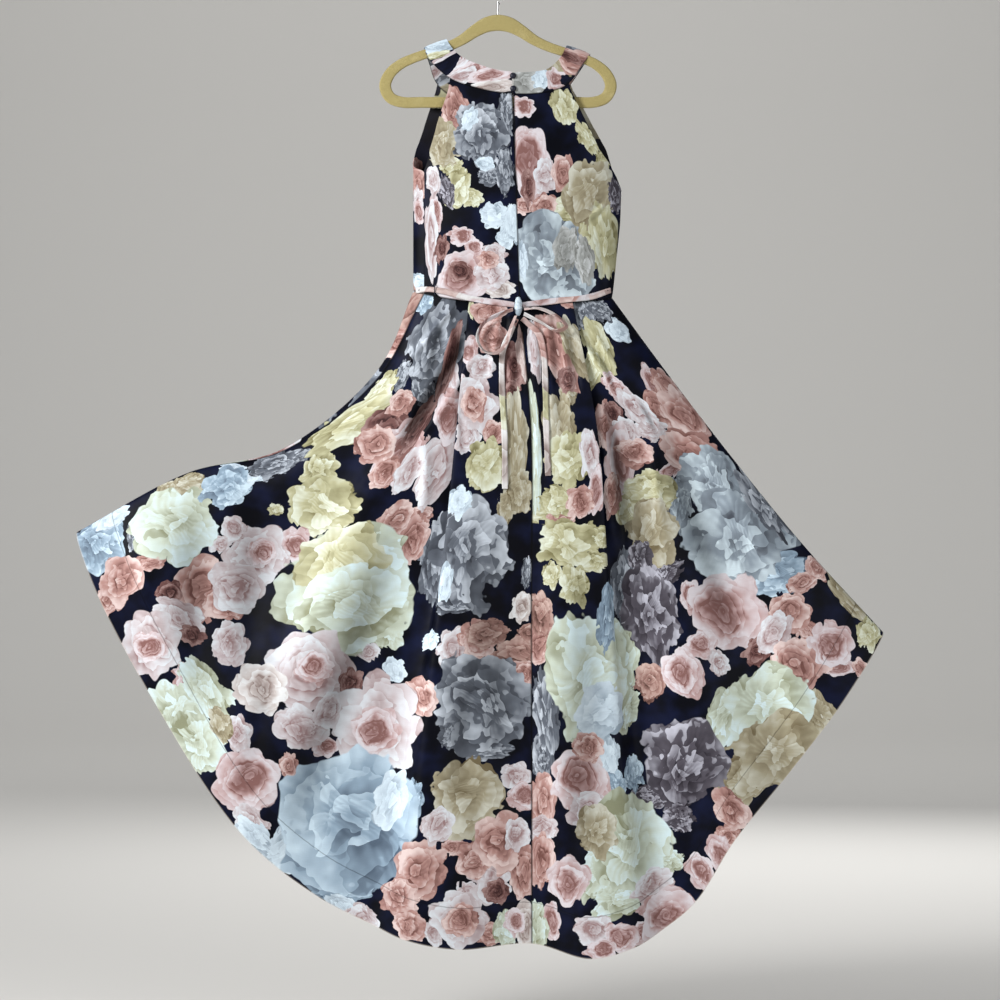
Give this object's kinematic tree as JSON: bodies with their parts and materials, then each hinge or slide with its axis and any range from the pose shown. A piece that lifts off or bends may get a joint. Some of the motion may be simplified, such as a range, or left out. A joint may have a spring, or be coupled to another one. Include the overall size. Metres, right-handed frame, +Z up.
{
  "type": "high-low dress on a hanger",
  "caption": "Sleeveless halter dress with a flared skirt, short in front and long behind, a zipped back and a ribbon bow at the waist, hanging on a flat velvet hanger.",
  "frame": {"origin": "inside top of the hanger's hook, where a rail touches it", "axes": "+Z up, -Y the way the back of the dress faces, +X to the right of someone looking at that back"},
  "size_m": [1.2929, 0.1239, 1.5812],
  "materials": {
    "printed_satin": "flower print on navy satin with a slub weave, soft sheen",
    "tie_satin": "the same print cut narrow, pale rose and cream, soft sheen",
    "navy_satin": "navy satin",
    "zip_tape": "navy woven tape",
    "hanger_velvet": "ochre velvet flock, matt",
    "hook_wire": "bright steel wire"
  },
  "bodies": {
    "root": {"back_bodice_left": "printed_satin", "back_bodice_right": "printed_satin", "belt_loop_left": "navy_satin", "bow_loop_left": "tie_satin", "bow_loop_right": "tie_satin", "button_lower": "navy_satin", "button_upper": "navy_satin", "front_bodice": "printed_satin", "hanger_body": "hanger_velvet", "hanger_hook": "hook_wire", "neckband": "printed_satin", "skirt_back_left": "printed_satin", "skirt_back_right": "printed_satin", "skirt_front": "printed_satin", "tie_knot": "tie_satin", "tie_left": "tie_satin", "tie_right": "tie_satin", "tie_tail_left": "tie_satin", "tie_tail_right": "tie_satin", "zip": "zip_tape"}
  },
  "joints": []
}
